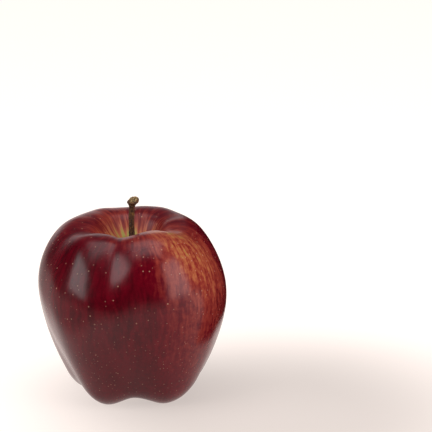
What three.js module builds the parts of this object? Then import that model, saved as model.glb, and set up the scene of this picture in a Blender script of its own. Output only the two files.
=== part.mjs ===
// A red eating apple of the tall, five-crowned kind, standing on its crown.
// Units are millimetres and +Z is up. The origin lies under the middle of the fruit, on the
// plane that its feet stand on, and -Y is the apple's front.
//
// The fruit is one lathed outline, from the calyx eye down its basin, round the crown, up the side,
// over the rim and down to the stem's socket. Five valleys then press it in between its five
// lobes, with a crease down the front shoulder, each lobe is filled out or drawn in, a lean shifts
// it sideways, and its feet are flattened where they bear on the ground.

import * as THREE from "three";

// ---- Driving dimensions -------------------------------------------------------------------

const FRUIT_WIDTH = 75; // across the widest part of the side, before the valleys
const FRUIT_HEIGHT = 68.5; // from the feet to the rim's crest
const WIDEST_HEIGHT = 42.5; // of the widest part above the feet
const RIM_DIAMETER = 41; // of the crest round the stem cavity
const CAVITY_DEPTH = 15; // of the stem cavity below the rim's crest
const CROWN_DIAMETER = 33; // of the ring that the feet lie on
const BASIN_DEPTH = 9; // of the calyx basin above the feet
const BASIN_FLOOR_DIAMETER = 7;
const CALYX_EYE_DIAMETER = 3.4; // of the pit in the basin's floor
const CALYX_EYE_DEPTH = 3.5;
const LEAN = 1; // how far the shoulder leans to -X and the crown to +X
const FOOT_PRESS = 1.5; // how far the crown is lowered on to its feet, which flattens them
const FOOT_REACH = 8; // how far from the crown's ring the flattening fades out

const STEM_LENGTH = 27; // from its root in the socket to its broken end
const STEM_DIAMETER = 2.2; // of the shank
const STEM_ROOT_DIAMETER = 3.0;
const STEM_ROOT_DEPTH = 2.5; // how deep the root sits below the cavity's floor
const STEM_KNOB_DIAMETER = 4.3; // of the swollen end that held it to the spur
const STEM_KNOB_LENGTH = 4.6;
const STEM_KNOB_OFFSET = 0.5; // how far the swollen end stands off to +X
const STEM_BOW = 0.3; // how far the shank bows to -X half-way up

const SEPAL_COUNT = 5;
const SEPAL_LENGTH = 6.4;
const SEPAL_WIDTH = 2.6;
const SEPAL_THICKNESS = 0.6;
const SEPAL_LEAN = 24; // degrees from upright, outwards
const SEPAL_CURL = 48; // degrees that the tip turns back past the base
const TUFT_LENGTH = 5.2; // of the dry stamens and styles
const TUFT_DIAMETER = 2.0;

const CLEARANCE = 0.3; // between pieces that touch

// The five lobes, from the front right one round towards +X. Each begins at a valley, whose azimuth
// at the rim and at the crown is in degrees round the core, 0 at the front. The valley's depths,
// and how far the lobe's shoulder and its lower flank are filled out, are in millimetres.
const LOBES = [
  { atRim: -10, atCrown: 0, rimDepth: 1.8, crownDepth: 4.5, shoulder: 0.7, flank: -0.8 },
  { atRim: 68, atCrown: 82, rimDepth: 2.6, crownDepth: 3.9, shoulder: -1.5, flank: 0.2 },
  { atRim: 127, atCrown: 142, rimDepth: 0.8, crownDepth: 3.0, shoulder: 0.2, flank: 0 },
  { atRim: 192, atCrown: 215, rimDepth: 1.0, crownDepth: 3.4, shoulder: -1.5, flank: 0 },
  { atRim: 289, atCrown: 295, rimDepth: 3.3, crownDepth: 4.3, shoulder: -1.1, flank: 1.5 },
];
const VALLEY_SPREAD = 24.5; // degrees from a valley's middle to where it is a third as deep
const LOBE_SPREAD = 24; // the same for a lobe's filling
const SIDE_RIB = 0.4; // how deep the valleys stay on the side, as a share of their shallow end

// The crease down the front shoulder: azimuth and spread in degrees, depth in millimetres, and
// shares of the way from the belly to the rim: where it is deepest, and how far it reaches.
const CREASE = { azimuth: -13, spread: 18, depth: 2.6, deepest: 0.62, reach: 0.42 };

// ---- Mesh fineness ------------------------------------------------------------------------

const FRUIT_SIDES = 50;
const FACET_LENGTH = 2.4; // along the outline
const STEM_SIDES = 12;
const STEM_STEPS = 16;

const degrees = THREE.MathUtils.degToRad;
const FRONT = degrees(-90);

// ---- The fruit's outline ------------------------------------------------------------------

const cavityFloor = FRUIT_HEIGHT - CAVITY_DEPTH;
const socketRadius = STEM_ROOT_DIAMETER / 2 + CLEARANCE;
const socketFloor = cavityFloor - STEM_ROOT_DEPTH - CLEARANCE;
const eyeRadius = CALYX_EYE_DIAMETER / 2;
const eyeTop = BASIN_DEPTH + CALYX_EYE_DEPTH;

// The skin's outline is a chain of cubic stretches between stations. A heading is in degrees, 0
// away from the core and 90 up, and a pull is how far the outline holds to it, in millimetres.
function skinStations() {
  const rim = RIM_DIAMETER / 2;
  const belly = FRUIT_WIDTH / 2;
  const crown = CROWN_DIAMETER / 2;
  const basinFloor = BASIN_FLOOR_DIAMETER / 2;
  return {
    eye: { r: eyeRadius, z: BASIN_DEPTH + 0.3, heading: -8, pull: 0.6 },
    basinFloor: { r: basinFloor, z: BASIN_DEPTH, heading: -20, pull: BASIN_DEPTH * 0.18 },
    basinWall: {
      r: (crown + basinFloor) * 0.5,
      z: BASIN_DEPTH * 0.5,
      heading: -62,
      pull: BASIN_DEPTH * 0.22,
    },
    crown: { r: crown, z: 0, heading: 0, pull: crown * 0.21 },
    taper: {
      r: crown + (belly - crown) * 0.56,
      z: WIDEST_HEIGHT * 0.16,
      heading: 65,
      pull: belly * 0.2,
    },
    belly: { r: belly, z: WIDEST_HEIGHT, heading: 90, pull: belly * 0.33 },
    rim: { r: rim, z: FRUIT_HEIGHT, heading: 180, pull: rim * 0.46 },
    cavityWall: {
      r: rim * 0.44,
      z: cavityFloor + CAVITY_DEPTH * 0.5,
      heading: 227,
      pull: CAVITY_DEPTH * 0.28,
    },
    socket: { r: socketRadius, z: cavityFloor, heading: 215, pull: CAVITY_DEPTH * 0.14 },
  };
}

const stations = skinStations();

// The points of the cubic that leaves one station and reaches the next along their headings.
function stretch(from, to) {
  const leave = degrees(from.heading);
  const reach = degrees(to.heading);
  const curve = new THREE.CubicBezierCurve(
    new THREE.Vector2(from.r, from.z),
    new THREE.Vector2(from.r + from.pull * Math.cos(leave), from.z + from.pull * Math.sin(leave)),
    new THREE.Vector2(to.r - to.pull * Math.cos(reach), to.z - to.pull * Math.sin(reach)),
    new THREE.Vector2(to.r, to.z),
  );
  const steps = Math.max(2, Math.round(curve.getLength() / FACET_LENGTH));
  return curve.getPoints(steps).slice(1);
}

function fruitOutline() {
  const chain = Object.values(stations);
  const points = [
    new THREE.Vector2(0, eyeTop),
    new THREE.Vector2(eyeRadius * 0.8, eyeTop),
    new THREE.Vector2(chain[0].r, chain[0].z),
  ];
  for (let i = 1; i < chain.length; i += 1) {
    points.push(...stretch(chain[i - 1], chain[i]));
  }
  points.push(new THREE.Vector2(socketRadius, socketFloor), new THREE.Vector2(0, socketFloor));
  return points;
}

const outline = fruitOutline();

// How far along the outline each of its points lies, in millimetres from the calyx eye.
const along = outline.reduce((sums, point, i) => {
  sums.push(i ? sums[i - 1] + point.distanceTo(outline[i - 1]) : 0);
  return sums;
}, []);

function alongStation({ r, z }) {
  const found = outline.findIndex((point) => Math.hypot(point.x - r, point.y - z) < 1e-6);
  return along[found];
}

const crownAlong = alongStation(stations.crown);
const bellyAlong = alongStation(stations.belly);
const rimAlong = alongStation(stations.rim);
const lastAlong = along[along.length - 1];
const shoulderAlong = THREE.MathUtils.lerp(bellyAlong, rimAlong, 0.6);
const flankAlong = THREE.MathUtils.lerp(crownAlong, bellyAlong, 0.45);
const creaseAlong = THREE.MathUtils.lerp(bellyAlong, rimAlong, CREASE.deepest);

// ---- How the fruit departs from a lathed shape --------------------------------------------

const bell = (x) => Math.exp(-x * x);
const cleft = (x) => Math.exp(1.5 * (0.3 - Math.hypot(x, 0.3))); // a bell with a creased middle
const smooth = (x) => THREE.MathUtils.smoothstep(x, 0, 1);

// The shorter way from one azimuth to another, in degrees.
function turn(from, to) {
  return THREE.MathUtils.euclideanModulo(to - from + 180, 360) - 180;
}

// The azimuth half-way on from one azimuth to a further one.
function halfWay(from, to) {
  return from + THREE.MathUtils.euclideanModulo(to - from, 360) / 2;
}

// How far the skin is pressed in, at an azimuth in degrees and a distance along the outline: by the
// crease and the valleys, less what the lobes between the valleys are filled out.
function pressedIn(azimuth, distance) {
  const up = smooth((distance - crownAlong) / (rimAlong - crownAlong));
  const nearRim = bell((distance - rimAlong) / (rimAlong - bellyAlong));
  const nearCrown = bell((distance - crownAlong) / ((bellyAlong - crownAlong) * 0.55));
  const nearShoulder = bell((distance - shoulderAlong) / ((rimAlong - bellyAlong) * 0.6));
  const nearFlank = bell((distance - flankAlong) / ((bellyAlong - crownAlong) * 0.5));
  const nearCrease = bell((distance - creaseAlong) / ((rimAlong - bellyAlong) * CREASE.reach));
  const fromCrease = turn(CREASE.azimuth, azimuth) / CREASE.spread;
  const creased = CREASE.depth * nearCrease * cleft(fromCrease);
  return LOBES.reduce((sum, lobe, i) => {
    const next = LOBES[(i + 1) % LOBES.length];
    const shallow = Math.min(lobe.rimDepth, lobe.crownDepth);
    const side = SIDE_RIB * shallow * (1 - nearRim) * (1 - nearCrown);
    const depth = lobe.rimDepth * nearRim + lobe.crownDepth * nearCrown + side;
    const valley = THREE.MathUtils.lerp(lobe.atCrown, lobe.atRim, up);
    const filling = lobe.shoulder * nearShoulder + lobe.flank * nearFlank;
    const middle = THREE.MathUtils.lerp(
      halfWay(lobe.atCrown, next.atCrown),
      halfWay(lobe.atRim, next.atRim),
      up,
    );
    return (
      sum +
      depth * bell(turn(valley, azimuth) / VALLEY_SPREAD) -
      filling * bell(turn(middle, azimuth) / LOBE_SPREAD)
    );
  }, creased);
}

// The outward normal of the outline at one of its points, in the outline's own plane.
function outlineNormal(i) {
  const before = outline[Math.max(i - 1, 0)];
  const after = outline[Math.min(i + 1, outline.length - 1)];
  return new THREE.Vector2(after.y - before.y, before.x - after.x).normalize();
}

// ---- Pieces ---------------------------------------------------------------------------------

function fruitGeometry() {
  const geometry = new THREE.LatheGeometry(outline, FRUIT_SIDES);
  const position = geometry.getAttribute("position");
  for (let side = 0; side <= FRUIT_SIDES; side += 1) {
    const angle = ((side % FRUIT_SIDES) / FRUIT_SIDES) * 2 * Math.PI;
    const azimuth = THREE.MathUtils.radToDeg(angle);
    for (let i = 0; i < outline.length; i += 1) {
      const { x: r, y: z } = outline[i];
      const normal = outlineNormal(i);
      const fade = smooth((r - socketRadius) / (CROWN_DIAMETER * 0.35));
      const inwards = pressedIn(azimuth, along[i]) * fade;
      const radius = r - normal.x * inwards;
      const lean = LEAN * Math.sin((2 * Math.PI * along[i]) / lastAlong) * fade;
      const press = FOOT_PRESS * bell((along[i] - crownAlong) / FOOT_REACH);
      const height = z - normal.y * inwards - press;
      position.setXYZ(
        side * outline.length + i,
        radius * Math.cos(angle + FRONT) + lean,
        radius * Math.sin(angle + FRONT),
        Math.max(height, 0),
      );
    }
  }
  return geometry;
}

// The stem from its root to its broken end: turned, bowed, and pushed over at its swollen end.
function stemGeometry() {
  const knobStart = STEM_LENGTH - STEM_KNOB_LENGTH;
  const shape = new THREE.SplineCurve([
    new THREE.Vector2(STEM_ROOT_DIAMETER / 2, 0),
    new THREE.Vector2(STEM_ROOT_DIAMETER / 2, STEM_ROOT_DEPTH),
    new THREE.Vector2(STEM_DIAMETER * 0.56, STEM_ROOT_DEPTH * 2.4),
    new THREE.Vector2(STEM_DIAMETER * 0.5, STEM_LENGTH * 0.5),
    new THREE.Vector2(STEM_DIAMETER * 0.54, knobStart),
    new THREE.Vector2(STEM_KNOB_DIAMETER * 0.46, knobStart + STEM_KNOB_LENGTH * 0.45),
    new THREE.Vector2(STEM_KNOB_DIAMETER * 0.5, knobStart + STEM_KNOB_LENGTH * 0.7),
    new THREE.Vector2(STEM_KNOB_DIAMETER * 0.42, STEM_LENGTH),
  ]);
  const profile = [
    new THREE.Vector2(0, 0),
    ...shape.getPoints(STEM_STEPS),
    new THREE.Vector2(0, STEM_LENGTH),
  ];
  const geometry = new THREE.LatheGeometry(profile, STEM_SIDES);
  geometry.rotateX(Math.PI / 2);
  const position = geometry.getAttribute("position");
  for (let i = 0; i < position.count; i += 1) {
    const z = position.getZ(i);
    const rise = smooth((z - STEM_ROOT_DEPTH) / (STEM_LENGTH - STEM_ROOT_DEPTH));
    const swell = smooth((z - knobStart) / STEM_KNOB_LENGTH);
    const sideways = STEM_KNOB_OFFSET * swell - STEM_BOW * Math.sin(Math.PI * rise);
    position.setX(i, position.getX(i) + sideways);
  }
  return geometry;
}

// One dry sepal: a pointed strip, lying along +Z and curling back towards +X at its tip.
function sepalGeometry() {
  const geometry = new THREE.BoxGeometry(SEPAL_THICKNESS, SEPAL_WIDTH, SEPAL_LENGTH, 1, 2, 6);
  const position = geometry.getAttribute("position");
  const curl = degrees(SEPAL_CURL);
  for (let i = 0; i < position.count; i += 1) {
    const share = THREE.MathUtils.clamp(position.getZ(i) / SEPAL_LENGTH + 0.5, 0, 1);
    const width = 1 - 0.88 * share ** 1.6;
    const y = position.getY(i) * width;
    const offset = position.getX(i) - (0.3 * (y * y)) / SEPAL_WIDTH;
    const bend = curl * share;
    const radius = SEPAL_LENGTH / curl;
    position.setXYZ(
      i,
      radius * (1 - Math.cos(bend)) + offset * Math.cos(bend),
      y,
      radius * Math.sin(bend) - offset * Math.sin(bend),
    );
  }
  return geometry;
}

function tuftGeometry() {
  const half = TUFT_DIAMETER / 2;
  const profile = [
    new THREE.Vector2(0, 0),
    new THREE.Vector2(half * 0.8, 0),
    new THREE.Vector2(half * 0.7, TUFT_LENGTH * 0.35),
    new THREE.Vector2(half, TUFT_LENGTH * 0.7),
    new THREE.Vector2(half * 0.6, TUFT_LENGTH),
    new THREE.Vector2(0, TUFT_LENGTH),
  ];
  return new THREE.LatheGeometry(profile, STEM_SIDES).rotateX(Math.PI / 2);
}

// ---- Materials ------------------------------------------------------------------------------

const skin = new THREE.MeshStandardMaterial({ color: 0x6a0a18, roughness: 0.22, metalness: 0 });
const bark = new THREE.MeshStandardMaterial({ color: 0x4a2f1e, roughness: 0.85, metalness: 0 });
const drySepal = new THREE.MeshStandardMaterial({ color: 0x6b5a42, roughness: 0.9, metalness: 0 });
const dryStamen = new THREE.MeshStandardMaterial({ color: 0x3a2a1c, roughness: 0.95, metalness: 0 });

// ---- Assembly -------------------------------------------------------------------------------

function namedMesh(name, geometry, material) {
  const mesh = new THREE.Mesh(geometry, material);
  mesh.name = name;
  return mesh;
}

const apple = new THREE.Group();

const fruit = namedMesh("fruit", fruitGeometry(), skin);
apple.add(fruit);

const stem = namedMesh("stem", stemGeometry(), bark);
stem.position.z = socketFloor + CLEARANCE;
apple.add(stem);

// The sepals stand round the calyx eye, far enough out to leave a gap between neighbours.
const sepalTurn = Math.PI / SEPAL_COUNT;
const sepalInnerRadius = Math.max(
  eyeRadius + CLEARANCE,
  (SEPAL_WIDTH * Math.cos(sepalTurn) + CLEARANCE) / (2 * Math.sin(sepalTurn)),
);

// The calyx hangs in the basin, so it is built upright and turned over about X.
const calyx = new THREE.Group();
calyx.rotation.x = Math.PI;
calyx.position.z = BASIN_DEPTH;
for (let i = 0; i < SEPAL_COUNT; i += 1) {
  const arm = new THREE.Group();
  arm.rotation.z = ((i + 0.5) / SEPAL_COUNT) * 2 * Math.PI;
  const sepal = namedMesh(`sepal_${i + 1}`, sepalGeometry(), drySepal);
  sepal.position.x = sepalInnerRadius + SEPAL_THICKNESS * 0.5;
  sepal.position.z = CLEARANCE + SEPAL_THICKNESS * Math.sin(degrees(SEPAL_LEAN));
  sepal.rotation.y = degrees(SEPAL_LEAN);
  arm.add(sepal);
  calyx.add(arm);
}
const tuft = namedMesh("stamen_tuft", tuftGeometry(), dryStamen);
tuft.position.z = -CALYX_EYE_DEPTH + CLEARANCE;
calyx.add(tuft);
apple.add(calyx);

// The leaning fruit is set so that the middle of its box stands over the origin.
fruit.geometry.computeBoundingBox();
const middle = fruit.geometry.boundingBox.getCenter(new THREE.Vector3());
apple.position.set(-middle.x, -middle.y, 0);

const part = new THREE.Group();
part.add(apple);

export default part;
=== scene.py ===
"""A tall red apple with its stem and its dry calyx, standing on the lobes of its crown.

The fruit is one closed skin whose every point is worked out from two numbers: how far round the core
it lies, and how far along the fruit's outline. Lengths are in metres. Run as a script, it builds the
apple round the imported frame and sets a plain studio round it.
"""

import math

import bpy
import numpy as np
from bpy.props import FloatProperty, FloatVectorProperty, IntProperty, PointerProperty
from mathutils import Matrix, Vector


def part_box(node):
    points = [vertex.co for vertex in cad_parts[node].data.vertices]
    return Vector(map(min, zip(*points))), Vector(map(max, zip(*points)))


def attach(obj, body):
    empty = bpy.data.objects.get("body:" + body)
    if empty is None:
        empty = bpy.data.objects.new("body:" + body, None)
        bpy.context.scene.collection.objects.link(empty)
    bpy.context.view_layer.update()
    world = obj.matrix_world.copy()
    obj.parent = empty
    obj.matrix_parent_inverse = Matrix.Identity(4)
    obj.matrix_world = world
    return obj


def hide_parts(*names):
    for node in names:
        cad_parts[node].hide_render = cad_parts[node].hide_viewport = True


bl_info = {
    "name": "Orchard Apple",
    "version": (1, 0, 0),
    "blender": (4, 5, 0),
    "location": "3D View > Sidebar > Apple",
    "description": "Builds a tall red apple with its stem, its calyx and a plain studio",
    "category": "Add Mesh",
}

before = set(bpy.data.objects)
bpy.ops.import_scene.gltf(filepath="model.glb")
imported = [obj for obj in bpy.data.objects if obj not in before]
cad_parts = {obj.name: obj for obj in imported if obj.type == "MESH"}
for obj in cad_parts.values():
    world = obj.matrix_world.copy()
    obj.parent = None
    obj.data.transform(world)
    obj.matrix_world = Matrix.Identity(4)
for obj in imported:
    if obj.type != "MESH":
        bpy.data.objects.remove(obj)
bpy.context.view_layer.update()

MM = 0.001
BODY = "root"
FRONT = math.radians(-90)
SOCKET_GAP = 0.3 * MM  # between the stem's root and the socket that it sits in
EYE_EDGE = 0.3 * MM  # how far the edge of the calyx eye stands above the basin's floor
NO_TRIANGLES = np.zeros((0, 3), int)

# The five lobes, from the front right one round towards +X. Each begins at a valley: its azimuth at
# the rim and at the crown in degrees, its depth at the rim and at the crown, and how far the lobe's
# shoulder and its lower flank are filled out, in millimetres.
LOBES = (
    (-10, 0, 1.8, 4.5, 0.7, -0.8),
    (68, 82, 2.6, 3.9, -1.5, 0.2),
    (127, 142, 0.8, 3.0, 0.2, 0.0),
    (192, 215, 1.0, 3.4, -1.5, 0.0),
    (289, 295, 3.3, 4.3, -1.1, 1.5),
)
SIDE_RIB = 0.4

# The crease down the front shoulder: azimuth and spread in degrees, depth in millimetres, and
# shares of the way from the belly to the rim: where it is deepest, and how far it reaches.
CREASE = {"azimuth": -13, "spread": 18, "depth": 2.6, "deepest": 0.62, "reach": 0.42}

# Slow waves that keep the skin from being a perfect surface: waves round the core, waves from the
# calyx to the stem, phase in degrees, and height in millimetres.
UNEVENNESS = (
    (3, 2.2, 40, 0.10),
    (7, 3.1, 130, 0.07),
    (11, 4.6, 250, 0.05),
    (17, 2.4, 310, 0.03),
)


def linear(hex_colour):
    """The linear RGB of an sRGB hex colour: below 0.04045 a straight line, and above it a power."""
    srgb = np.array([int(hex_colour[i : i + 2], 16) for i in (1, 3, 5)]) / 255
    low = srgb <= 0.04045
    return tuple(float(c) for c in np.where(low, srgb / 12.92, ((srgb + 0.055) / 1.055) ** 2.4))


def length(name, millimetres, description):
    return FloatProperty(
        name=name, description=description, default=millimetres * MM, unit="LENGTH", precision=5
    )


def colour(name, hex_colour, description):
    return FloatVectorProperty(
        name=name, description=description, default=linear(hex_colour), subtype="COLOR", size=3
    )


class AppleSizes(bpy.types.PropertyGroup):
    """The apple's sizes, which are the frame's."""

    width: length("Width", 75, "Across the widest part of the side, before the valleys")
    height: length("Height", 68.5, "From the feet to the rim's crest")
    widest: length("Widest at", 42.5, "Height of the widest part above the feet")
    rim: length("Rim", 41, "Diameter of the crest round the stem cavity")
    cavity: length("Cavity depth", 15, "Depth of the stem cavity below the rim's crest")
    crown: length("Crown", 33, "Diameter of the ring that the feet lie on")
    basin: length("Basin depth", 9, "Depth of the calyx basin above the feet")
    basin_floor: length("Basin floor", 7, "Diameter of the calyx basin's floor")
    eye: length("Calyx eye", 3.4, "Diameter of the pit in the basin's floor")
    eye_depth: length("Calyx eye depth", 3.5, "Depth of the pit in the basin's floor")
    lean: length("Lean", 1, "How far the shoulder leans to -X and the crown to +X")
    press: length("Foot press", 1.5, "How far the crown is lowered on to its feet")
    press_reach: length("Foot reach", 8, "How far from the crown's ring the press fades out")
    stem_root: length("Stem root", 3, "Diameter of the stem where it is rooted")
    stem_root_depth: length("Stem root depth", 2.5, "How deep the root sits below the cavity's floor")
    stem_shank: length("Stem shank", 2.2, "Diameter of the stem's shank")
    stem_knob: length("Stem knob", 4.3, "Diameter of the swollen end")
    stem_knob_length: length("Stem knob length", 4.6, "Length of the swollen end")
    stem_bow: length("Stem bow", 0.3, "How far the shank bows sideways half-way up")
    sepal: length("Sepal", 7, "Length of a sepal")
    sepal_width: length("Sepal width", 2.6, "Width of a sepal near its base")
    valley_spread: FloatProperty(
        name="Valley spread",
        description="From a valley's middle to where it is a third as deep",
        default=math.radians(24.5),
        subtype="ANGLE",
    )
    lobe_spread: FloatProperty(
        name="Lobe spread",
        description="From a lobe's middle to where its filling is a third",
        default=math.radians(24),
        subtype="ANGLE",
    )
    rounds: IntProperty(
        name="Rounds", description="Faces round the core", default=384, min=48, max=400
    )
    rows: IntProperty(
        name="Rows", description="Faces along the outline", default=248, min=60, max=250
    )


class AppleColours(bpy.types.PropertyGroup):
    """The apple's colours."""

    ground: colour("Ground", "#9a9245", "Ground colour in the cavity and the basin")
    thin: colour("Thin blush", "#b0613f", "Where the red is thinnest")
    blush: colour("Blush", "#8e3329", "Where the red is half as thick")
    red: colour("Red", "#5e0213", "The full red")
    deep: colour("Deep red", "#3a0009", "The red's darkest streaks")
    lenticel: colour("Lenticels", "#c2977a", "The pale breathing pores")
    bark: colour("Bark", "#603a20", "The stem's bark")
    bark_dark: colour("Dark bark", "#23130b", "The bark's cracks")
    bark_pale: colour("Pale bark", "#8c5f2c", "The bark's worn ochre patches")
    lichen: colour("Specks", "#8f8478", "The bark's pale grey specks")
    end_grain: colour("End grain", "#a98a5c", "The stem's broken end")
    sepal: colour("Sepals", "#6f5a3c", "The dry sepals")
    stamen: colour("Stamens", "#3c2b1c", "The dry stamens")
    # Painted bounce light: the floor and its glow are tinted a little warm to stand for the apple's
    # red light thrown into the floor's shadows.
    floor: colour("Floor", "#958c87", "The studio floor")
    # The flag paints a dark reflection only: nothing but the gloss sees it.
    flag: colour("Flag", "#0c0909", "The black cloth at the apple's right")
    floor_glow_and_painted_bounce: colour("Floor glow", "#fff4ee", "The light that comes up through the floor")


# ---- Shapes -----------------------------------------------------------------------------------


def bell(x):
    """Exp of minus x squared: 1 in the middle, a third at 1."""
    return np.exp(-np.square(x))


def smooth(x):
    """An even step from 0 to 1: 3 x squared less 2 x cubed."""
    x = np.clip(x, 0, 1)
    return x * x * (3 - 2 * x)


def cleft(x):
    """1 in the middle and a third at 1, like bell, but creased: exp of less the distance."""
    return np.exp(1.5 * (0.3 - np.sqrt(np.square(x) + 0.09)))


def blend(a, b, share):
    return a + (b - a) * share


def turn(angle):
    """An angle in degrees brought between -180 and 180."""
    return (angle + 180) % 360 - 180


def half_way(start, end):
    """The azimuth in degrees half-way on from one azimuth to a further one."""
    return start + ((end - start) % 360) / 2


def socket_radius(s):
    return s.stem_root / 2 + SOCKET_GAP


def stations(s):
    """The outline's stations: radius, height, heading in degrees (0 away from the core, 90 up), and
    pull, which is how far the outline holds to that heading."""
    rim, belly, crown, floor = s.rim / 2, s.width / 2, s.crown / 2, s.basin_floor / 2
    cavity_floor = s.height - s.cavity
    return {
        "eye": (s.eye / 2, s.basin + EYE_EDGE, -8, EYE_EDGE * 2),
        "basin floor": (floor, s.basin, -20, s.basin * 0.18),
        "basin wall": ((crown + floor) / 2, s.basin / 2, -62, s.basin * 0.22),
        "crown": (crown, 0, 0, crown * 0.21),
        "taper": (blend(crown, belly, 0.56), s.widest * 0.16, 65, belly * 0.2),
        "belly": (belly, s.widest, 90, belly * 0.33),
        "rim": (rim, s.height, 180, rim * 0.46),
        "cavity wall": (rim * 0.44, cavity_floor + s.cavity * 0.50, 227, s.cavity * 0.28),
        "socket": (socket_radius(s), cavity_floor, 215, s.cavity * 0.14),
    }


def cubic(start, end, steps):
    """Points of the cubic Bezier that leaves one station and reaches the next on their headings."""
    (r0, z0, leave, pull0), (r3, z3, reach, pull3) = start, end
    leave, reach = math.radians(leave), math.radians(reach)
    p0, p3 = np.array((r0, z0)), np.array((r3, z3))
    p1 = p0 + pull0 * np.array((math.cos(leave), math.sin(leave)))
    p2 = p3 - pull3 * np.array((math.cos(reach), math.sin(reach)))
    t = np.linspace(0, 1, steps + 1)[1:, None]
    return (1 - t) ** 3 * p0 + 3 * (1 - t) ** 2 * t * p1 + 3 * (1 - t) * t**2 * p2 + t**3 * p3


def outline(s):
    """The fruit's outline from the top of the calyx eye to the bottom of the stem's socket, even
    in spacing, as radius and height, the distance along it, and each station's distance."""
    chain, steps = stations(s), 80
    names = list(chain)
    eye_top = s.basin + s.eye_depth
    points = [np.array(((0, eye_top), (s.eye * 0.4, eye_top), chain["eye"][:2]))]
    points += [cubic(chain[a], chain[b], steps) for a, b in zip(names, names[1:])]
    socket_floor = s.height - s.cavity - s.stem_root_depth - SOCKET_GAP
    points.append(np.array(((socket_radius(s), socket_floor), (0, socket_floor))))
    points = np.concatenate(points)
    along = np.concatenate(([0], np.cumsum(np.hypot(*np.diff(points, axis=0).T))))
    marks = {name: along[2 + i * steps] for i, name in enumerate(names)}
    even = np.linspace(0, along[-1], s.rows + 1)
    r, z = (np.interp(even, along, points[:, i]) for i in (0, 1))
    return r, z, even, marks


def pressed_in(s, azimuth, along, marks):
    """How far the skin is pressed in: the sum over the valleys of depth times a bell of the angle
    from the valley, less the sum over the lobes of filling times a bell of the angle from the lobe."""
    crown, belly, rim = (marks[name] for name in ("crown", "belly", "rim"))
    up = smooth((along - crown) / (rim - crown))
    near_rim = bell((along - rim) / (rim - belly))
    near_crown = bell((along - crown) / ((belly - crown) * 0.55))
    near_shoulder = bell((along - blend(belly, rim, 0.6)) / ((rim - belly) * 0.6))
    near_flank = bell((along - blend(crown, belly, 0.45)) / ((belly - crown) * 0.5))
    valley_spread, lobe_spread = math.degrees(s.valley_spread), math.degrees(s.lobe_spread)
    total = np.zeros(np.broadcast(azimuth, along).shape)
    for lobe, following in zip(LOBES, LOBES[1:] + LOBES[:1]):
        at_rim, at_crown, rim_depth, crown_depth, shoulder, flank = lobe
        side = SIDE_RIB * min(rim_depth, crown_depth) * (1 - near_rim) * (1 - near_crown)
        depth = rim_depth * near_rim + crown_depth * near_crown + side
        valley = blend(at_crown, at_rim, up)
        middle = blend(half_way(at_crown, following[1]), half_way(at_rim, following[0]), up)
        filling = shoulder * near_shoulder + flank * near_flank
        off = turn(valley - azimuth) / valley_spread
        total += depth * bell(off)
        total -= filling * bell(turn(middle - azimuth) / lobe_spread)
    deepest = blend(belly, rim, CREASE["deepest"])
    near_crease = bell((along - deepest) / ((rim - belly) * CREASE["reach"]))
    off = turn(CREASE["azimuth"] - azimuth) / CREASE["spread"]
    total += CREASE["depth"] * near_crease * cleft(off)
    return total * MM


def uneven(azimuth, along, marks):
    """A sum of slow waves round the core and along the outline, in metres."""
    share = along / marks["socket"]
    waves = 0
    for around, lengthways, phase, height in UNEVENNESS:
        angle = np.radians(azimuth * around + phase) + 2 * math.pi * lengthways * share
        waves = waves + height * MM * np.sin(angle)
    return waves


def fruit_surface(s):
    """Every point of the skin. The outline is turned round the core, pressed in along its normal by
    the valleys, shifted sideways by one sine wave of lean, and lowered at the crown, where nothing
    passes below the ground. Returns points (round, along, 3), azimuths and distances along."""
    r, z, along, marks = outline(s)
    azimuth = np.arange(s.rounds)[:, None] * (360 / s.rounds)
    slope = np.gradient(np.stack((r, z)), axis=1)
    slope /= np.maximum(np.hypot(*slope), 1e-12)
    normal_r, normal_z = slope[1], -slope[0]
    fade = smooth((r - socket_radius(s)) / (s.crown * 0.35))
    inwards = (pressed_in(s, azimuth, along, marks) + uneven(azimuth, along, marks)) * fade
    radius = r - normal_r * inwards
    lean = s.lean * np.sin(2 * math.pi * along / along[-1]) * fade
    press = s.press * bell((along - marks["crown"]) / s.press_reach)
    height = np.maximum(z - normal_z * inwards - press, 0)
    angle = np.radians(azimuth) + FRONT
    points = np.stack(
        (radius * np.cos(angle) + lean, radius * np.sin(angle), height), axis=-1
    )
    return points, azimuth, along, marks


def closed_skin(points):
    """A closed surface from a grid of points (round, along, 3) whose first and last columns are
    single points on its axis. Returns its vertices, its quads and its triangles."""
    rounds, rows = points.shape[:2]
    here = np.arange(rounds)[:, None] * (rows - 2) + np.arange(rows - 2)
    there = np.roll(here, -1, axis=0)
    quads = np.stack((here[:, :-1], there[:, :-1], there[:, 1:], here[:, 1:]), axis=-1).reshape(-1, 4)
    first, last = rounds * (rows - 2), rounds * (rows - 2) + 1
    start = np.stack((np.full(rounds, first), there[:, 0], here[:, 0]), axis=-1)
    end = np.stack((np.full(rounds, last), here[:, -1], there[:, -1]), axis=-1)
    ends = points[:, (0, -1)].mean(axis=0)
    vertices = np.concatenate((points[:, 1:-1].reshape(-1, 3), ends))
    return vertices, quads, np.concatenate((start, end))


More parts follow.
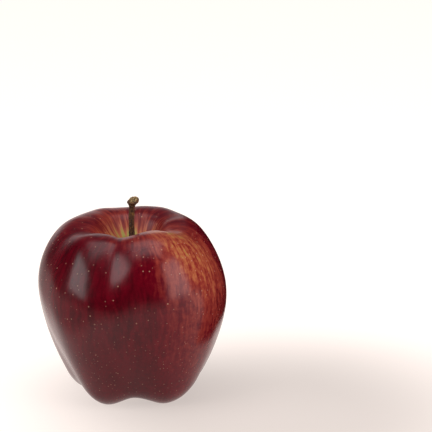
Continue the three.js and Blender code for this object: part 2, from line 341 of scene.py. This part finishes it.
def mesh_object(name, vertices, quads, triangles, material):
    """A smooth-shaded mesh object at the origin from vertices, quads and triangles."""
    mesh = bpy.data.meshes.new(name)
    mesh.vertices.add(len(vertices))
    mesh.vertices.foreach_set("co", vertices.astype(np.float32).ravel())
    corners = np.concatenate((quads.ravel(), triangles.ravel())).astype(np.int32)
    counts = np.concatenate((np.full(len(quads), 4), np.full(len(triangles), 3)))
    starts = np.concatenate(([0], np.cumsum(counts)[:-1])).astype(np.int32)
    mesh.loops.add(len(corners))
    mesh.loops.foreach_set("vertex_index", corners)
    mesh.polygons.add(len(counts))
    mesh.polygons.foreach_set("loop_start", starts)
    mesh.polygons.foreach_set("loop_total", counts.astype(np.int32))
    mesh.polygons.foreach_set("use_smooth", np.ones(len(counts), bool))
    mesh.update(calc_edges=True)
    mesh.validate()
    mesh.materials.append(material)
    made = bpy.data.objects.new(name, mesh)
    bpy.context.scene.collection.objects.link(made)
    return made


def give_attribute(piece, name, values):
    """Stores a number or a vector at each vertex, for the material to read."""
    kind, field = ("FLOAT", "value") if values.ndim == 1 else ("FLOAT_VECTOR", "vector")
    attribute = piece.data.attributes.new(name, kind, "POINT")
    attribute.data.foreach_set(field, values.astype(np.float32).ravel())


def on_grid(values, shape):
    """The values of a whole grid, in the vertex order that closed_skin gives."""
    grid = np.broadcast_to(values, shape)
    inner = grid[:, 1:-1].reshape(-1, *shape[2:])
    return np.concatenate((inner, grid[:, (0, -1)].mean(axis=0)))


def core():
    """Where the fruit's core stands, which is the axis of the stamen tuft."""
    low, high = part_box("stamen_tuft")
    return np.array(((low.x + high.x) / 2, (low.y + high.y) / 2, 0))


# ---- Materials --------------------------------------------------------------------------------


def add(tree, kind, inputs=(), **settings):
    """Adds one node, sets its properties, and sets or links its inputs, by name or number."""
    node = tree.nodes.new("ShaderNode" + kind)
    for name, value in settings.items():
        setattr(node, name, value)
    for name, value in dict(inputs).items():
        if isinstance(value, bpy.types.NodeSocket):
            tree.links.new(value, node.inputs[name])
        else:
            node.inputs[name].default_value = value
    return node


def maths(tree, operation, *values, clamp=False):
    node = add(tree, "Math", enumerate(values), operation=operation, use_clamp=clamp)
    return node.outputs[0]


def between(tree, value, low, high, to_low=0.0, to_high=1.0):
    """A value brought from one range to another by a smooth step, and held at its ends."""
    inputs = {"Value": value, 1: low, 2: high, 3: to_low, 4: to_high}
    return add(tree, "MapRange", inputs, interpolation_type="SMOOTHSTEP").outputs[0]


def mix_colours(tree, share, a, b, blend_type="MIX"):
    node = add(tree, "Mix", data_type="RGBA", blend_type=blend_type, clamp_factor=True)
    for i, value in ((0, share), (6, a), (7, b)):
        if isinstance(value, bpy.types.NodeSocket):
            tree.links.new(value, node.inputs[i])
        else:
            node.inputs[i].default_value = value
    return node.outputs[2]


def rgba(colour_value):
    return (*colour_value, 1.0)


def new_material(name):
    """A material with its tree emptied but for a Principled shader that reaches the output."""
    material = bpy.data.materials.new(name)
    material.use_nodes = True
    tree = material.node_tree
    tree.nodes.clear()
    shader = add(tree, "BsdfPrincipled")
    add(tree, "OutputMaterial", {"Surface": shader.outputs[0]})
    return material, tree, shader


def in_millimetres(tree):
    """Object coordinates in millimetres."""
    place = add(tree, "TexCoord").outputs["Object"]
    return add(tree, "VectorMath", {0: place, 3: 1000.0}, operation="SCALE").outputs[0]


def stretched(tree, place, x, y, z):
    node = add(tree, "VectorMath", {0: place, 1: (x, y, z)}, operation="MULTIPLY")
    return node.outputs[0]


def noise(tree, place, scale, detail=2.0, roughness=0.5, distortion=0.0):
    inputs = {
        "Vector": place,
        "Scale": scale,
        "Detail": detail,
        "Roughness": roughness,
        "Distortion": distortion,
    }
    return add(tree, "TexNoise", inputs).outputs[0]


def pores(tree, place, cell, radius, share):
    """Round dots on random points: 1 inside, 0 outside. A point in a share of the cells shows."""
    inputs = {"Vector": place, "Scale": 1 / cell, "Randomness": 0.8}
    points = add(tree, "TexVoronoi", inputs, feature="F1", voronoi_dimensions="3D")
    dot = between(tree, points.outputs["Distance"], radius / cell, radius * 0.35 / cell)
    pick = add(tree, "SeparateXYZ", {0: points.outputs["Color"]}).outputs[0]
    shown = maths(tree, "LESS_THAN", pick, share)
    return maths(tree, "MULTIPLY", dot, shown), pick


def apple_skin(c):
    """Ripe apple skin, grown, with its natural wax. The eye gets a deep red drawn in fine streaks
    from stem to calyx over a yellow-green ground, pale breathing pores, and a soft even gloss."""
    material, tree, shader = new_material("ripe_apple_skin_waxed")
    place = in_millimetres(tree)
    peel = add(tree, "Attribute", attribute_name="peel").outputs["Vector"]
    flush = add(tree, "Attribute", attribute_name="flush").outputs["Fac"]
    bare = add(tree, "Attribute", attribute_name="bare").outputs["Fac"]
    low = add(tree, "Attribute", attribute_name="low").outputs["Fac"]

    # Streaks follow the skin from stem to calyx: broad ones of about 4 by 19 mm, fine of 1.3 by 7.5.
    waver = noise(tree, place, 0.08, detail=2.0)
    shift = add(tree, "VectorMath", {0: waver, 3: 0.12}, operation="SCALE").outputs[0]
    flow = add(tree, "VectorMath", {0: peel, 1: shift}, operation="ADD").outputs[0]
    broad = noise(tree, stretched(tree, flow, 9, 9, 2.0), 1.0, detail=2.0, roughness=0.5)
    fine = noise(tree, stretched(tree, flow, 28, 28, 5.0), 1.0, detail=1.5, roughness=0.5)
    mottle = noise(tree, place, 0.55, detail=4.0, roughness=0.65)
    blotch = noise(tree, stretched(tree, place, 1, 1, 0.6), 0.09, detail=2.0)

    # Near the stem the streaks run together, so only the broad ones are left there.
    share = between(tree, bare, 0.25, 0.6, 0.6, 0.1)
    finer = maths(tree, "SUBTRACT", fine, broad)
    streaks = between(tree, maths(tree, "MULTIPLY_ADD", finer, share, broad), 0.36, 0.64, -0.5, 0.5)

    # How thick the red lies: full on most of the fruit, thin in the flush, none where bare.
    grain = between(tree, mottle, 0.32, 0.68, -0.5, 0.5)
    upper = maths(tree, "SUBTRACT", 1.0, low)
    streak_depth = maths(tree, "MULTIPLY_ADD", upper, 0.11, 0.02)
    streak_depth = maths(tree, "MULTIPLY_ADD", bare, 0.30, streak_depth)
    streak_depth = maths(tree, "MULTIPLY_ADD", flush, 0.17, streak_depth)
    grain_depth = maths(tree, "MULTIPLY_ADD", flush, 0.20, 0.05)
    full = maths(tree, "MULTIPLY_ADD", flush, -0.56, 0.90)
    full = maths(tree, "MULTIPLY_ADD", streaks, streak_depth, full)
    full = maths(tree, "MULTIPLY_ADD", grain, grain_depth, full)
    full = maths(tree, "ADD", full, between(tree, blotch, 0.38, 0.62, -0.03, 0.03))
    edge = maths(tree, "MULTIPLY", bare, maths(tree, "MULTIPLY_ADD", streaks, -0.40, 1.0))
    orange = between(tree, edge, 0.0, 0.6, 1.0, 0.5)
    open_skin = between(tree, edge, 0.34, 0.84, 1.0, 0.04)
    cover = maths(tree, "MULTIPLY", full, maths(tree, "MULTIPLY", orange, open_skin), clamp=True)

    ramp = add(tree, "ValToRGB", {"Fac": cover})
    stops = ((0.0, c.ground), (0.22, c.thin), (0.48, c.blush), (0.78, c.red), (1.0, c.deep))
    elements = ramp.color_ramp.elements
    for position, _ in stops[2:]:
        elements.new(position)
    for element, (position, value) in zip(elements, stops):
        element.position, element.color = position, rgba(value)

    # Breathing pores: about 0.5 mm across and 3 mm apart above, smaller and closer below.
    above, tint = pores(tree, place, 2.2, 0.38, 0.75)
    below, _ = pores(tree, place, 1.5, 0.28, 0.8)
    above = maths(tree, "MULTIPLY", above, upper)
    below = maths(tree, "MULTIPLY", below, maths(tree, "MULTIPLY", low, 0.6))
    dots = maths(tree, "ADD", above, below, clamp=True)
    strength = maths(tree, "MULTIPLY", dots, maths(tree, "MULTIPLY_ADD", tint, 0.6, 0.2))
    skin_colour = mix_colours(tree, strength, ramp.outputs[0], rgba(c.lenticel))
    tree.links.new(skin_colour, shader.inputs["Base Color"])

    # The wax is even but for a faint cloudiness. The pores and the bare skin are duller.
    cloud = noise(tree, place, 0.22, detail=3.0)
    rough = maths(tree, "MULTIPLY_ADD", cloud, 0.08, 0.18)
    rough = maths(tree, "ADD", rough, maths(tree, "MULTIPLY", dots, 0.2))
    rough = maths(tree, "ADD", rough, maths(tree, "MULTIPLY", bare, 0.5))
    tree.links.new(rough, shader.inputs["Roughness"])
    shader.inputs["IOR"].default_value = 1.38

    # Skin cells under the wax give a pebble of about 0.5 mm, some hundredths of a millimetre high.
    pebble = noise(tree, place, 1.9, detail=3.0, roughness=0.6)
    relief = maths(tree, "MULTIPLY_ADD", dots, 0.25, pebble)
    bump = add(tree, "Bump", {"Height": relief, "Strength": 0.22, "Distance": 0.08 * MM})
    tree.links.new(bump.outputs[0], shader.inputs["Normal"])
    return material


def stem_bark(c):
    """Dry apple stem, grown wood with its thin bark. The eye gets a dull brown with dark cracks
    along it, ochre where the bark is worn, pale grey specks, and a pale broken end."""
    material, tree, shader = new_material("dry_stem_bark")
    place = in_millimetres(tree)
    end = add(tree, "Attribute", attribute_name="end").outputs["Fac"]
    # Cracks about 0.3 mm apart across the stem and four times as long, and specks of 0.5 mm.
    cracks = noise(tree, stretched(tree, place, 3.2, 3.2, 0.8), 1.0, detail=4.0, roughness=0.65)
    specks = noise(tree, place, 1.9, detail=3.0, roughness=0.7)
    worn = noise(tree, place, 0.45, detail=3.0, distortion=0.4)
    tone = mix_colours(tree, between(tree, cracks, 0.36, 0.62), rgba(c.bark_dark), rgba(c.bark))
    patch = maths(tree, "MULTIPLY", between(tree, worn, 0.50, 0.66), between(tree, cracks, 0.4, 0.6))
    tone = mix_colours(tree, maths(tree, "MULTIPLY", patch, 0.8), tone, rgba(c.bark_pale))
    tone = mix_colours(tree, between(tree, specks, 0.60, 0.70), tone, rgba(c.lichen))
    grain = mix_colours(tree, between(tree, specks, 0.46, 0.56), rgba(c.bark_dark), rgba(c.end_grain))
    tone = mix_colours(tree, end, tone, grain)
    tree.links.new(tone, shader.inputs["Base Color"])
    shader.inputs["Roughness"].default_value = 0.75
    shader.inputs["Specular IOR Level"].default_value = 0.35
    relief = maths(tree, "ADD", cracks, maths(tree, "MULTIPLY", specks, 0.5))
    bump = add(tree, "Bump", {"Height": relief, "Strength": 0.7, "Distance": 0.25 * MM})
    tree.links.new(bump.outputs[0], shader.inputs["Normal"])
    return material


def dry_leaf(name, dark, light, rough):
    """Dried sepal or stamen, grown and withered. The eye gets a papery brown with fibres."""
    material, tree, shader = new_material(name)
    place = in_millimetres(tree)
    fibres = noise(tree, place, 2.6, detail=4.0, roughness=0.7, distortion=0.6)
    tone = mix_colours(tree, between(tree, fibres, 0.35, 0.65), rgba(dark), rgba(light))
    tree.links.new(tone, shader.inputs["Base Color"])
    shader.inputs["Roughness"].default_value = rough
    bump = add(tree, "Bump", {"Height": fibres, "Strength": 0.6, "Distance": 0.15 * MM})
    tree.links.new(bump.outputs[0], shader.inputs["Normal"])
    return material


def studio_floor(c):
    """Opal acrylic sheet, cast and matte, glowing as if lit from below. Its glow carries a painted
    shadow: about half as much to the right of the apple, which deepens the shadow there. The floor and
    its glow are a little warm, which paints the apple's red bounce light into the shadows. The eye
    gets a white ground with pale warm shadows."""
    material, tree, shader = new_material("opal_acrylic_painted_shade")
    shader.inputs["Base Color"].default_value = rgba(c.floor)
    shader.inputs["Roughness"].default_value = 0.6
    shader.inputs["Specular IOR Level"].default_value = 0.0
    shader.inputs["Emission Color"].default_value = rgba(c.floor_glow_and_painted_bounce)
    place = in_millimetres(tree)
    # Painted shadow: the glow falls to about half within 30 mm of a point right of the apple, and is
    # whole again at 130 mm.
    measured = {0: place, 1: (55, -30, 0)}
    away = add(tree, "VectorMath", measured, operation="DISTANCE").outputs["Value"]
    glow = between(tree, away, 30, 130, 0.52, 1.0)

    # Painted dark reflection: only the gloss sees the glow dimmer in front and out at the left, though
    # no cards stand there.
    back = add(tree, "SeparateXYZ", {0: place}).outputs["Y"]
    across = add(tree, "VectorMath", {0: place, 1: (1, 0.12, 0)}, operation="DOT_PRODUCT")
    left = between(tree, across.outputs["Value"], -110, -60, 0.37, 1.0)
    painted_dark_reflection = maths(tree, "MULTIPLY", between(tree, back, -240, -60, 0.27, 1.0), left)
    gloss = add(tree, "LightPath").outputs["Is Glossy Ray"]
    painted_dark_reflection = maths(tree, "MULTIPLY_ADD", gloss, maths(tree, "SUBTRACT", painted_dark_reflection, 1.0), 1.0)
    glow = maths(tree, "MULTIPLY", glow, painted_dark_reflection)
    tree.links.new(glow, shader.inputs["Emission Strength"])
    return material


def black_for_painted_reflection(c):
    """Duvetyne, matte brushed cotton, here a painted dark reflection: the sheet it covers is seen only
    in the gloss. The eye gets nothing but darkness in the gloss.
    """
    material, _, shader = new_material("black_painted_reflection")
    shader.inputs["Base Color"].default_value = rgba(c.flag)
    shader.inputs["Roughness"].default_value = 1.0
    shader.inputs["Specular IOR Level"].default_value = 0.0
    return material


# ---- Operators --------------------------------------------------------------------------------


class APPLE_OT_stage(bpy.types.Operator):
    """Sets the camera, the floor, the soft boxes and the white surroundings"""

    bl_idname = "apple.stage"
    bl_label = "Stage"

    def execute(self, context):
        scene = context.scene
        make_camera(scene)
        make_floor(scene)
        for box in SOFT_BOXES:
            make_soft_box(scene, *box)
        make_flag(scene)
        make_surroundings(scene)
        return {"FINISHED"}


# Where the camera stands: its elevation in degrees, its distance, the height it would aim at, and
# how far right of and above that point it does aim, in millimetres.
CAMERA = {"elevation": 15.5, "distance": 800, "height": 36.5, "right": 32.3, "above": 32.0}
SEEN_WIDTH = 167.0  # millimetres across the view at that distance


def make_camera(scene):
    tilt = math.radians(CAMERA["elevation"])
    ahead = Vector((0, math.cos(tilt), -math.sin(tilt)))
    up = Vector((0, math.sin(tilt), math.cos(tilt)))
    aim = Vector((CAMERA["right"], 0, CAMERA["height"])) + up * CAMERA["above"]
    data = bpy.data.cameras.new("camera")
    data.sensor_width = 36.0
    data.lens = data.sensor_width * CAMERA["distance"] / SEEN_WIDTH
    data.clip_start, data.clip_end = 0.05, 20.0
    camera = bpy.data.objects.new("camera", data)
    scene.collection.objects.link(camera)
    camera.location = (aim - ahead * CAMERA["distance"]) * MM
    camera.rotation_mode = "QUATERNION"
    camera.rotation_quaternion = ahead.to_track_quat("-Z", "Y")
    scene.camera = camera
    scene.view_settings.view_transform = "Standard"


def make_floor(scene):
    """A flat sheet of one face, a hair under the feet, whose front edge stands a little before the
    apple."""
    front, back, side, z = -0.42, 4.0, 3.0, -0.02 * MM
    vertices = np.array(((-side, front, z), (side, front, z), (side, back, z), (-side, back, z)))
    quads = np.array(((0, 1, 2, 3),))
    material = studio_floor(scene.apple_colours)
    floor = mesh_object("studio_floor", vertices, quads, NO_TRIANGLES, material)


# The black flag's plan, a sheet for a painted dark reflection, from its front end round the apple's
# right side to behind it.
FLAG_PLAN = ((0.059, -0.018), (0.059, 0.06), (0.03, 0.2))
FLAG_HEIGHT = 0.12


def make_flag(scene):
    """A standing sheet of black cloth that only the gloss shows, because the camera, the soft light
    and the shadows all pass it by, so it is a painted dark reflection. It keeps the apple's right
    flank dark, as another fruit would."""
    foot = np.array([(x, y, 0.0) for x, y in FLAG_PLAN])
    vertices = np.concatenate((foot, foot + (0, 0, FLAG_HEIGHT)))
    quads = np.array(((0, 1, 4, 3), (1, 2, 5, 4)))
    material = black_for_painted_reflection(scene.apple_colours)
    flag = mesh_object("black_sheet_painted_reflection", vertices, quads, NO_TRIANGLES, material)
    flag.visible_camera = flag.visible_diffuse = flag.visible_shadow = False


# Soft boxes: azimuth and elevation from the apple in degrees (azimuth 0 in front, positive to +X),
# distance, width and height in metres, and how bright their face is, with the floor's white as 1.
SOFT_BOXES = (
    ("soft_box_left", -67, 26, 1.1, 0.78, 0.76, 3.6),
    ("soft_box_right", 60, 19, 1.1, 0.92, 1.00, 2.9),
    ("soft_box_above", 0, 85, 1.1, 1.10, 0.96, 2.4),
)


def make_soft_box(scene, name, azimuth, elevation, distance, width, height, brightness):
    """A rectangular area light that faces the apple's middle."""
    data = bpy.data.lights.new(name, "AREA")
    data.shape = "RECTANGLE"
    data.size, data.size_y = width, height
    data.energy = brightness * width * height * math.pi
    azimuth, elevation = math.radians(azimuth), math.radians(elevation)
    out = Vector(
        (
            math.sin(azimuth) * math.cos(elevation),
            -math.cos(azimuth) * math.cos(elevation),
            math.sin(elevation),
        )
    )
    light = bpy.data.objects.new(name, data)
    light.location = out * distance + Vector((0, 0, 0.04))
    light.rotation_mode = "QUATERNION"
    light.rotation_quaternion = out.to_track_quat("Z", "Y")
    scene.collection.objects.link(light)


def make_surroundings(scene):
    """White all round to the eye. As light, bright low behind the apple on both sides of it, and
    dark in front, overhead and far out to the sides."""
    world = bpy.data.worlds.new("surroundings")
    world.use_nodes = True
    tree = world.node_tree
    tree.nodes.clear()
    direction = add(tree, "TexCoord").outputs["Generated"]
    way = add(tree, "SeparateXYZ", {0: direction}).outputs
    behind = between(tree, way[1], 0.2, 0.5, 0.02, 1.0)
    aside = maths(tree, "ABSOLUTE", maths(tree, "ADD", way[0], 0.1))
    glow = maths(tree, "MULTIPLY", behind, between(tree, aside, 0.2, 0.6, 1.3, 0.04))
    glow = maths(tree, "MULTIPLY", glow, between(tree, way[2], 0.45, 0.05, 0.06, 1.0))
    seen = add(tree, "LightPath").outputs["Is Camera Ray"]
    strength = maths(tree, "MAXIMUM", glow, seen)
    shader = add(tree, "Background", {"Color": (1, 1, 1, 1), "Strength": strength})
    add(tree, "OutputWorld", {"Surface": shader.outputs[0]})
    scene.world = world


class APPLE_OT_fruit(bpy.types.Operator):
    """Makes the fruit: its skin from the calyx eye to the stem's socket"""

    bl_idname = "apple.fruit"
    bl_label = "Fruit"

    def execute(self, context):
        s, c = context.scene.apple_sizes, context.scene.apple_colours
        points, azimuth, along, marks = fruit_surface(s)
        shape = points.shape[:2]
        vertices, quads, triangles = closed_skin(points)
        piece = mesh_object("apple_fruit", vertices + core(), quads, triangles, apple_skin(c))

        angle, run = np.broadcast_arrays(np.radians(azimuth), along / (s.width / 2))
        peel = np.stack((np.sin(angle), np.cos(angle), run), axis=-1)
        give_attribute(piece, "peel", on_grid(peel, (*shape, 3)))
        give_attribute(piece, "flush", on_grid(flush_share(azimuth, along, marks), shape))
        give_attribute(piece, "bare", on_grid(bare_share(azimuth, along, marks), shape))
        lower = smooth((marks["belly"] * 1.1 - along) / (marks["belly"] * 0.5))
        give_attribute(piece, "low", on_grid(lower, shape))

        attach(piece, BODY)
        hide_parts("fruit")
        return {"FINISHED"}


def flush_share(azimuth, along, marks):
    """How thin the red lies: a bell on the front right shoulder that slants down towards the front,
    a faint broad one below it, and a faint one behind."""
    crown, belly, rim = (marks[name] for name in ("crown", "belly", "rim"))
    up = np.clip((along - belly) / (rim - belly), -1, 1)
    main = bell(turn(azimuth - 59 + 13 * up) / 30) * bell((up - 0.68) / 0.66)
    lower = bell((along - blend(crown, belly, 0.7)) / (belly - crown))
    below = 0.30 * bell(turn(azimuth - 56) / 38) * lower
    behind = 0.5 * bell(turn(azimuth - 215) / 40) * bell((along - belly) / (rim - belly) / 1.3)
    return np.clip(main + below + behind, 0, 1)


def bare_share(azimuth, along, marks):
    """How bare of red the skin is: a little on the shoulder, and wholly near the stem, where it fans
    out most behind and to the left, and in the calyx basin."""
    crown, belly, rim, socket = (marks[name] for name in ("crown", "belly", "rim", "socket"))
    shoulder = 0.20 * smooth((along - blend(belly, rim, 0.45)) / ((rim - belly) * 0.55))
    down = np.clip((along - rim) / (socket - rim), 0, 1)
    fan = 0.30 * bell(turn(azimuth - 200) / 34) * smooth((down - 0.25) / 0.6)
    cavity = shoulder + 0.80 * down**1.7 + fan
    basin = smooth((crown * 0.86 - along) / (crown * 0.6))
    return np.broadcast_to(np.maximum(cavity, basin), np.broadcast(azimuth, along).shape)


# Shares of the stem's height: where its broken end starts, and over how much it blends in.
END_FROM, END_BLEND = 0.975, 0.01
KNOB_SHIFT = 0.5 * MM  # how far the swollen end stands off to +X
KNOB_SLOPES = (0.22, 0.36)  # how its broken face rises towards +X and towards +Y


class APPLE_OT_stem(bpy.types.Operator):
    """Makes the woody stem with its swollen, broken end"""

    bl_idname = "apple.stem"
    bl_label = "Stem"

    def execute(self, context):
        s, c = context.scene.apple_sizes, context.scene.apple_colours
        low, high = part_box("stem")
        rounds, rows = 96, 220
        share = np.linspace(0, 1, rows + 1)
        azimuth = np.arange(rounds)[:, None] * (2 * math.pi / rounds)
        tall = high.z - low.z
        z = share * tall
        radius = stem_radius(s, z, tall)
        radius = radius * (1 + stem_bark_relief(azimuth, z, tall, s))
        rise = smooth((z - s.stem_root_depth) / (tall - s.stem_root_depth))
        swell = smooth((z - tall + s.stem_knob_length) / s.stem_knob_length)
        x = radius * np.cos(azimuth) - s.stem_bow * np.sin(math.pi * rise) + KNOB_SHIFT * swell
        y = radius * np.sin(azimuth)
        slope_x, slope_y = KNOB_SLOPES
        tilt = slope_y * (y - s.stem_knob / 2) + slope_x * (x - s.stem_knob / 2)
        tilt = tilt * np.square(swell)
        height = z + low.z + tilt
        points = np.stack((x, y, height), axis=-1)
        points[:, (0, -1)] = points[:, (0, -1)].mean(axis=0)
        vertices, quads, triangles = closed_skin(points)
        piece = mesh_object("apple_stem", vertices + core(), quads, triangles, stem_bark(c))
        end = smooth((z / tall - END_FROM) / END_BLEND)
        give_attribute(piece, "end", on_grid(end, points.shape[:2]))
        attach(piece, BODY)
        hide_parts("stem")
        return {"FINISHED"}


def stem_radius(s, z, tall):
    """The stem's radius at a height: the root narrows to the shank, which swells to a lump whose
    broken end is a little narrower than its middle."""
    root, shank, knob = s.stem_root / 2, s.stem_shank / 2, s.stem_knob / 2
    flare = blend(root, shank, smooth((z - s.stem_root_depth) / (s.stem_root_depth * 1.6)))
    up = (z - tall + s.stem_knob_length) / s.stem_knob_length
    body = blend(flare, knob, smooth(up / 0.5)) - knob * 0.2 * smooth((up - 0.55) / 0.45)
    edge = np.clip((tall - z) / (s.stem_knob_length * 0.1), 0, 1)
    return body * np.sqrt(1 - (1 - edge) ** 2)


def stem_bark_relief(azimuth, z, tall, s):
    """Ridges along the stem and lumps round the knob, as shares of the radius."""
    ridges = 0.03 * np.sin(5 * azimuth + z / tall * 7) + 0.02 * np.sin(11 * azimuth - z / tall * 12)
    rings = 0.02 * np.sin(2 * math.pi * z / (1.7 * MM) + 2 * np.sin(azimuth))
    knob = smooth((z - tall + s.stem_knob_length) / s.stem_knob_length)
    lumps = knob * (0.07 * np.sin(3 * azimuth + 0.8) + 0.05 * np.sin(6 * azimuth + 2))
    return ridges + rings + lumps


SEPALS = 5


class APPLE_OT_sepals(bpy.types.Operator):
    """Makes the five dry sepals of the calyx"""

    bl_idname = "apple.sepals"
    bl_label = "Sepals"

    def execute(self, context):
        s, c = context.scene.apple_sizes, context.scene.apple_colours
        material = dry_leaf("dry_sepal_papery", c.bark_dark, c.sepal, 0.85)
        for i in range(SEPALS):
            piece = make_sepal(s, f"apple_sepal_{i + 1}", i, material)
            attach(piece, BODY)
            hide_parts(f"sepal_{i + 1}")
        return {"FINISHED"}


def make_sepal(s, name, i, material):
    """One sepal: a pointed strip on a closed grid, round its rim and from its base to its tip. It
    starts at the calyx eye, hangs down and curls outwards, more so towards its tip, and its edges
    bend off its middle by their distance squared."""
    rounds, rows = 24, 40
    share = np.linspace(0, 1, rows + 1)
    around = np.arange(rounds)[:, None] * (2 * math.pi / rounds)
    width = s.sepal_width / 2 * (1 - share**1.7) * (0.75 + 0.5 * np.sin(math.pi * np.sqrt(share)))
    thick = 0.22 * MM * (1 - 0.6 * share)
    ends = np.sin(math.pi * np.clip(share * rows / 2, 0, 1) / 2)
    across = width * np.cos(around) * ends
    off = thick * np.sin(around) * ends
    off = off + 0.35 * np.square(across) / s.sepal_width
    off = off + 0.08 * MM * np.sin(9 * share + i) * np.cos(around)
    lean = math.radians(24)
    curl = math.radians(48 + 9 * math.sin(2.4 * i))
    bend = lean + curl * share
    step = s.sepal / rows
    run = np.concatenate(([0], np.cumsum(np.sin(bend[1:]) * step)))
    drop = np.concatenate(([0], np.cumsum(np.cos(bend[1:]) * step)))
    out = s.eye / 2 + 0.6 * MM + run - off * np.cos(bend)
    height = s.basin - 0.2 * MM - drop - off * np.sin(bend)
    angle = -(i + 0.5) / SEPALS * 2 * math.pi
    x = out * math.cos(angle) - across * math.sin(angle)
    y = out * math.sin(angle) + across * math.cos(angle)
    points = np.stack(np.broadcast_arrays(x, y, height), axis=-1)[::-1].copy()
    for edge in (0, -1):
        points[:, edge] = points[:, edge].mean(axis=0)
    vertices, quads, triangles = closed_skin(points)
    return mesh_object(name, vertices + core(), quads, triangles, material)


THREADS = 15
GOLDEN_ANGLE = math.radians(137.5)  # between one stamen and the next, which spreads them evenly


class APPLE_OT_stamens(bpy.types.Operator):
    """Makes the tuft of dry stamens in the calyx eye"""

    bl_idname = "apple.stamens"
    bl_label = "Stamens"

    def execute(self, context):
        c = context.scene.apple_colours
        low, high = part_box("stamen_tuft")
        material = dry_leaf("dry_stamen_withered", c.bark_dark, c.stamen, 0.9)
        threads = [thread(low, high, i) for i in range(THREADS)]
        vertices, quads, triangles, start = [], [], [], 0
        for points in threads:
            v, q, t = closed_skin(points)
            vertices.append(v)
            quads.append(q + start)
            triangles.append(t + start)
            start += len(v)
        parts = (np.concatenate(part) for part in (vertices, quads, triangles))
        piece = mesh_object("apple_stamens", *parts, material)
        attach(piece, BODY)
        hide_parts("stamen_tuft")
        return {"FINISHED"}


def thread(low, high, i):
    """One stamen: a thin tube that spreads from the eye and ends in a small swollen anther."""
    rounds, rows = 8, 14
    middle = np.array(((low.x + high.x) / 2, (low.y + high.y) / 2))
    share = np.linspace(0, 1, rows + 1)
    around = np.arange(rounds)[:, None] * (2 * math.pi / rounds)
    angle = i * GOLDEN_ANGLE
    spread = (high.x - low.x) / 2 * math.sqrt((i + 0.5) / THREADS)
    out = spread * (0.55 + 0.4 * share + 0.15 * np.sin(3 * share + i))
    radius = (0.11 + 0.12 * bell((share - 0.92) / 0.07)) * MM
    radius = radius * np.sin(math.pi * np.clip(np.minimum(share, 1 - share) * rows, 0, 1) / 2)
    x = middle[0] + out * math.cos(angle) + radius * np.cos(around)
    y = middle[1] + out * math.sin(angle) + radius * np.sin(around)
    tall = (high.z - low.z) * (1 - 0.05 * (i % 4))
    z = high.z - share * tall
    return np.stack(np.broadcast_arrays(x, y, z), axis=-1)[::-1]


class APPLE_PT_panel(bpy.types.Panel):
    """Lists the apple's sizes, its colours and its pieces"""

    bl_idname = "APPLE_PT_panel"
    bl_label = "Apple"
    bl_space_type = "VIEW_3D"
    bl_region_type = "UI"
    bl_category = "Apple"

    def draw(self, context):
        for group in (context.scene.apple_sizes, context.scene.apple_colours):
            box = self.layout.box()
            for name in type(group).__annotations__:
                box.prop(group, name)
        for operator in OPERATORS:
            self.layout.operator(operator.bl_idname)


OPERATORS = (APPLE_OT_stage, APPLE_OT_fruit, APPLE_OT_stem, APPLE_OT_sepals, APPLE_OT_stamens)
CLASSES = (AppleSizes, AppleColours, *OPERATORS, APPLE_PT_panel)


def register():
    for cls in CLASSES:
        bpy.utils.register_class(cls)
    bpy.types.Scene.apple_sizes = PointerProperty(type=AppleSizes)
    bpy.types.Scene.apple_colours = PointerProperty(type=AppleColours)


def unregister():
    del bpy.types.Scene.apple_sizes, bpy.types.Scene.apple_colours
    for cls in reversed(CLASSES):
        bpy.utils.unregister_class(cls)


def main():
    register()
    bpy.ops.apple.stage()
    bpy.ops.apple.fruit()
    bpy.ops.apple.stem()
    bpy.ops.apple.sepals()
    bpy.ops.apple.stamens()
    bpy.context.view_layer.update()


if __name__ == "__main__":
    main()
